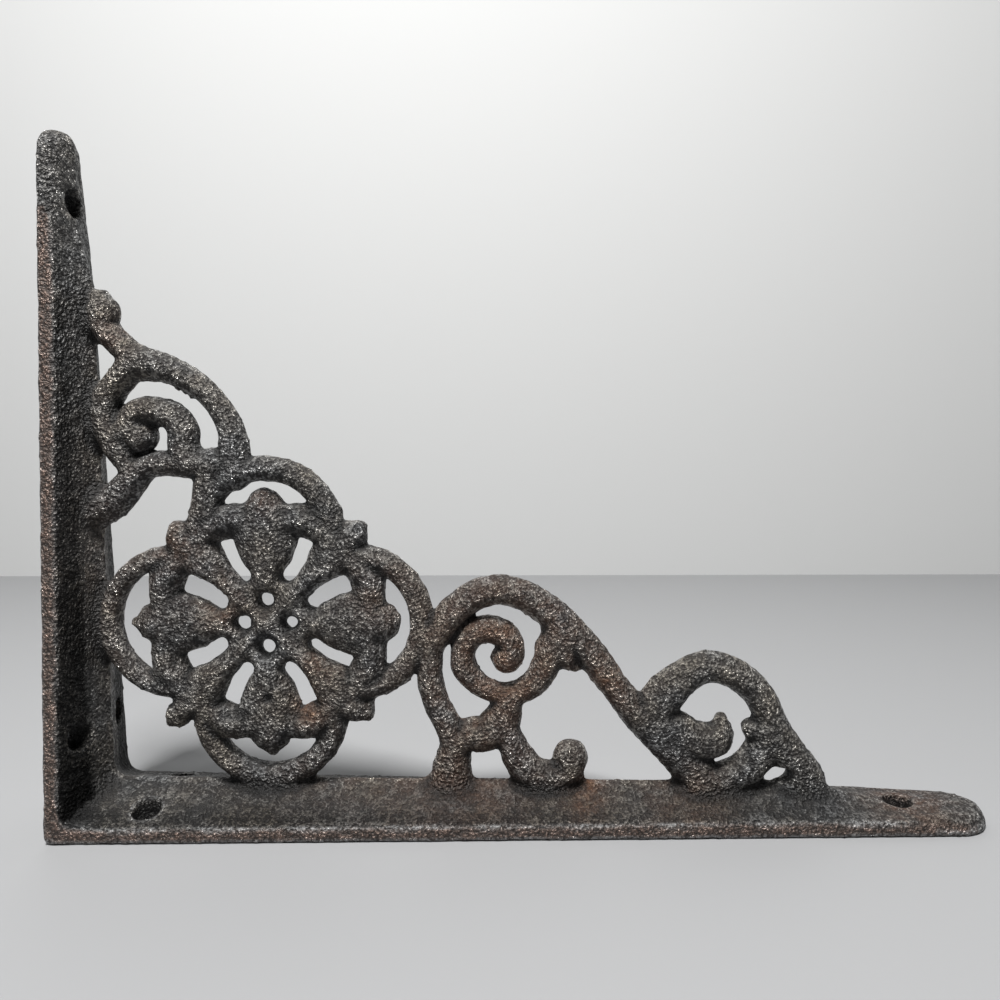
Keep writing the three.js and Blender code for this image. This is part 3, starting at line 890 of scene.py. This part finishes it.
def sand_noise(tree, given, size, height, detail):
    """Noise about zero whose lumps have this size, and this height from lowest to highest."""
    node = tree.nodes.new("ShaderNodeTexNoise")
    node.noise_dimensions = "4D"
    scale = calc(tree, "DIVIDE", 1.0, given[size])
    feed(tree, node, {"Scale": scale, "Detail": detail, "W": given["Seed"]})
    return calc(tree, "MULTIPLY", calc(tree, "SUBTRACT", node.outputs[0], 0.5), given[height])


def sand_pits(tree, given):
    """How deep the pits are, at places that the seed chooses."""
    scatter = tree.nodes.new("GeometryNodeDistributePointsOnFaces")
    scatter.distribute_method = "POISSON"
    feed(tree, scatter, {
        "Mesh": given["Casting"], "Distance Min": given["Pit spacing"],
        "Density Max": PIT_DENSITY, "Seed": given["Seed"],
    })
    nearest = tree.nodes.new("GeometryNodeProximity")
    nearest.target_element = "POINTS"
    feed(tree, nearest, {0: scatter.outputs["Points"]})
    out = calc(tree, "DIVIDE", nearest.outputs["Distance"], given["Pit width"])
    inside = calc(tree, "MAXIMUM", calc(tree, "SUBTRACT", 1.0, out), 0.0)
    return calc(tree, "MULTIPLY", calc(tree, "POWER", inside, PIT_STEEPNESS), given["Pit depth"])


def sand_nodes(iron):
    """Roughens the skin as moulding sand does: long waves, grain, and pits at seeded places."""
    tree = bpy.data.node_groups.new("sand_cast_skin", "GeometryNodeTree")
    sand_sockets(tree)
    given = tree.nodes.new("NodeGroupInput").outputs
    wave = sand_noise(tree, given, "Wave size", "Wave height", WAVE_DETAIL)
    grain = sand_noise(tree, given, "Grain size", "Grain height", GRAIN_DETAIL)
    height = calc(tree, "SUBTRACT", calc(tree, "ADD", wave, grain), sand_pits(tree, given))
    normal = tree.nodes.new("GeometryNodeInputNormal").outputs["Normal"]
    shift = tree.nodes.new("ShaderNodeVectorMath")
    shift.operation = "SCALE"
    feed(tree, shift, {0: normal, "Scale": height})
    moved = add_node(tree, "GeometryNodeSetPosition", {
        "Geometry": given["Casting"], "Offset": shift.outputs[0],
    })
    smooth = add_node(tree, "GeometryNodeSetShadeSmooth", {0: moved.outputs[0]})
    real = add_node(tree, "GeometryNodeRealizeInstances", {0: smooth.outputs[0]})
    painted = add_node(tree, "GeometryNodeSetMaterial", {
        "Geometry": real.outputs[0], "Material": iron,
    })
    add_node(tree, "NodeGroupOutput", {0: painted.outputs[0]})
    return tree


def bake_modifiers(piece):
    """Gives a piece the plain mesh that its modifiers make, and takes the modifiers off."""
    depsgraph = bpy.context.evaluated_depsgraph_get()
    made = bpy.data.meshes.new_from_object(piece.evaluated_get(depsgraph))
    piece.modifiers.clear()
    piece.data = made


def roughen(piece, iron):
    tree = sand_nodes(iron)
    modifier = piece.modifiers.new("sand", "NODES")
    modifier.node_group = tree
    inputs = {**SAND_SIZES, "Seed": SAND_SEED}
    for item in tree.interface.items_tree:
        if item.item_type == "SOCKET" and item.in_out == "INPUT" and item.name in inputs:
            modifier[item.identifier] = inputs[item.name]
    bake_modifiers(piece)


# Finish

class Paint:
    """The nodes of a material, with a short way to add each kind that the iron is made of."""

    def __init__(self, material):
        self.tree = material.node_tree
        self.where = self.tree.nodes.new("ShaderNodeTexCoord").outputs["Object"]

    def calc(self, operation, *values):
        return calc(self.tree, operation, *values)

    def noise(self, size, detail, roughness):
        node = add_node(self.tree, "ShaderNodeTexNoise", {
            "Vector": self.where, "Scale": 1 / size, "Detail": detail, "Roughness": roughness,
        })
        return node.outputs[0]

    def grains(self, size):
        """How far each place lies from the middle of its grain of sand."""
        node = add_node(self.tree, "ShaderNodeTexVoronoi", {"Vector": self.where, "Scale": 1 / size})
        return node.outputs["Distance"]

    def mark(self, name):
        """A mark that the skin carries."""
        node = self.tree.nodes.new("ShaderNodeAttribute")
        node.attribute_name = name
        return node.outputs["Fac"]

    def ramp(self, value, stops):
        """Turns a value into a colour, or into a share where the stops are plain numbers."""
        node = add_node(self.tree, "ShaderNodeValToRGB", {0: value})
        elements = node.color_ramp.elements
        while len(elements) < len(stops):
            elements.new(0.5)
        for element, (at, colour) in zip(elements, stops):
            element.position = at
            element.color = (*colour, 1.0) if isinstance(colour, tuple) else (colour,) * 3 + (1.0,)
        return node.outputs[0]

    def mix(self, share, a, b, blend="MIX"):
        """Lays colour b over colour a, as strongly as the share says."""
        node = self.tree.nodes.new("ShaderNodeMix")
        node.data_type = "RGBA"
        node.blend_type = blend
        feed(self.tree, node, {"Factor": share, MIX_A: a, MIX_B: b})
        return node.outputs[MIXED]

    def darken(self, colour, value, stops):
        """Darkens a colour as far as the stops say for each value."""
        return self.mix(1.0, colour, self.ramp(value, stops), "MULTIPLY")


def cast_iron():
    """Raw grey-brown iron: bright grain crests that are partly wear and partly painted glint, bright
    edges that are partly wear and partly painted highlight, painted shade in hollows, on the arms'
    slopes and in the screw holes, and rust where it is stained.
    """
    iron = bpy.data.materials.new("raw_cast_iron")
    iron.use_nodes = True
    paint = Paint(iron)
    side = paint.mark(ARM_SIDE)
    # Painted shade on the arms' slopes and in the screw holes
    shade_mark = paint.mark(PAINTED_SHADE)
    depth = paint.calc("ADD", paint.mark(HOLLOW), 0.5)
    fine = paint.noise(*FINE_NOISE)
    patches = paint.noise(*PATCHES)
    blotches = paint.noise(*BLOTCHES)
    rusty = paint.calc("MULTIPLY", paint.mark(STAIN), paint.ramp(blotches, STAIN_IN_BLOTCHES))

    relief = paint.calc("ADD", fine, RELIEF_OFFSET)
    relief = paint.calc("MULTIPLY_ADD", paint.grains(SAND_GRAIN), SAND_RELIEF, relief)
    relief = paint.calc("MULTIPLY_ADD", paint.noise(*LUMPS), LUMP_RELIEF, relief)

    body = paint.ramp(patches, BODY)
    body = paint.mix(rusty, body, paint.ramp(fine, BODY_RUST))
    body = paint.mix(side, body, paint.ramp(fine, BODY_SIDE))
    # Painted shade laid over the body colour
    body = paint.mix(shade_mark, body, paint.ramp(blotches, BODY_IN_SHADE))

    # Crest colour: partly wear, partly painted glint standing in for sparkle off the grain
    worn_glint = paint.ramp(patches, WORN_GLINT)
    worn_glint = paint.mix(rusty, worn_glint, paint.ramp(fine, WORN_GLINT_RUST))
    worn_glint = paint.mix(side, worn_glint, paint.ramp(fine, WORN_GLINT_SIDE))

    crest = paint.ramp(relief, CREST_OF_RELIEF)
    crest = paint.calc("MULTIPLY", crest, paint.ramp(depth, CREST_BY_DEPTH))
    crest = paint.calc("MULTIPLY", crest, paint.ramp(shade_mark, CREST_BY_SHADE))
    kept = paint.calc("MULTIPLY_ADD", side, -CREST_LOST_ON_SIDE, 1.0)
    crest = paint.calc("MULTIPLY", crest, kept)
    # Bright edges, partly wear and partly painted highlight
    edge = paint.calc("MULTIPLY", paint.mark(WORN_LIT_EDGE), paint.ramp(fine, EDGE_IN_GRAIN))

    # Painted glint and wear on the crests, laid over the body
    colour = paint.mix(crest, body, worn_glint)
    colour = paint.mix(edge, colour, paint.ramp(fine, EDGE_GREY))
    # Painted shade in the hollows
    colour = paint.darken(colour, depth, SHADE_BY_DEPTH)
    # Painted shade darkens the colour on the arms' slopes and in the screw holes
    colour = paint.darken(colour, shade_mark, DARKENING_IN_SHADE)

    # Painted shade also turns the iron into dark metal, so that it loses its shine
    shade_metal = paint.calc("MULTIPLY", shade_mark, METAL_IN_SHADE)
    bump = add_node(paint.tree, "ShaderNodeBump", {
        "Distance": RELIEF_HEIGHT, "Strength": 1.0, "Height": relief,
    })
    feed(paint.tree, paint.tree.nodes["Principled BSDF"], {
        "Base Color": colour,
        "Roughness": paint.ramp(crest, ROUGHNESS),
        "Metallic": paint.calc("MAXIMUM", paint.ramp(crest, METAL), shade_metal),
        "Specular IOR Level": SHINE,
        "Normal": bump.outputs[0],
    })
    return iron


# Floor, light and camera

def plain_material(name, colour, roughness):
    material = bpy.data.materials.new(name)
    material.use_nodes = True
    shader = material.node_tree.nodes["Principled BSDF"]
    shader.inputs["Base Color"].default_value = (*colour, 1.0)
    shader.inputs["Roughness"].default_value = roughness
    return material


def flat_sheet(name, corners, material):
    mesh = bpy.data.meshes.new(name)
    mesh.from_pydata(corners, [], [tuple(range(len(corners)))])
    mesh.materials.append(material)
    sheet = bpy.data.objects.new(name, mesh)
    bpy.context.scene.collection.objects.link(sheet)


def area_light(name, at, size, power, colour):
    data = bpy.data.lights.new(name, "AREA")
    data.shape = "RECTANGLE"
    data.size, data.size_y = size
    data.energy = power
    data.color = colour
    light = bpy.data.objects.new(name, data)
    light.location = at
    light.rotation_euler = (Vector(LIT_PLACE) - Vector(at)).to_track_quat("-Z", "Y").to_euler()
    bpy.context.scene.collection.objects.link(light)


def room():
    far, back = ROOM_REACH, WALL_AT
    floor = [(-far, -far, 0), (far, -far, 0), (far, back, 0), (-far, back, 0)]
    wall = [(-far, back, 0), (far, back, 0), (far, back, far), (-far, back, far)]
    flat_sheet("floor", floor, plain_material("pale_floor", FLOOR_COLOUR, FLOOR_ROUGHNESS))
    flat_sheet("wall", wall, plain_material("pale_wall", WALL_COLOUR, WALL_ROUGHNESS))


def lights():
    for name, (at, size, power, colour) in LIGHTS.items():
        area_light(name, at, size, power, colour)
    world = bpy.data.worlds.new("soft_room")
    world.use_nodes = True
    background = world.node_tree.nodes["Background"]
    background.inputs["Color"].default_value = (*ROOM_COLOUR, 1.0)
    background.inputs["Strength"].default_value = ROOM_LIGHT
    bpy.context.scene.world = world
    bpy.context.scene.view_settings.view_transform = "Standard"


def camera():
    data = bpy.data.cameras.new("camera")
    data.lens = LENS
    data.sensor_width = SENSOR_WIDTH
    data.clip_start, data.clip_end = SEEN_FROM, SEEN_TO
    obj = bpy.data.objects.new("camera", data)
    bpy.context.scene.collection.objects.link(obj)
    ahead = Vector((
        math.sin(CAMERA_YAW) * math.cos(CAMERA_PITCH),
        math.cos(CAMERA_YAW) * math.cos(CAMERA_PITCH),
        -math.sin(CAMERA_PITCH),
    ))
    level = Vector((math.cos(CAMERA_YAW), -math.sin(CAMERA_YAW), 0.0))
    upright = level.cross(ahead)
    right = math.cos(CAMERA_ROLL) * level + math.sin(CAMERA_ROLL) * upright
    up = -math.sin(CAMERA_ROLL) * level + math.cos(CAMERA_ROLL) * upright
    turn = Matrix((right, up, -ahead)).transposed().to_4x4()
    obj.matrix_world = Matrix.Translation(CAMERA_AT) @ turn
    bpy.context.scene.camera = obj


camera()
room()
lights()
iron = cast_iron()
bracket = cast_skin()
roughen(bracket, iron)
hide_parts(CASTING)
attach(bracket, "root")
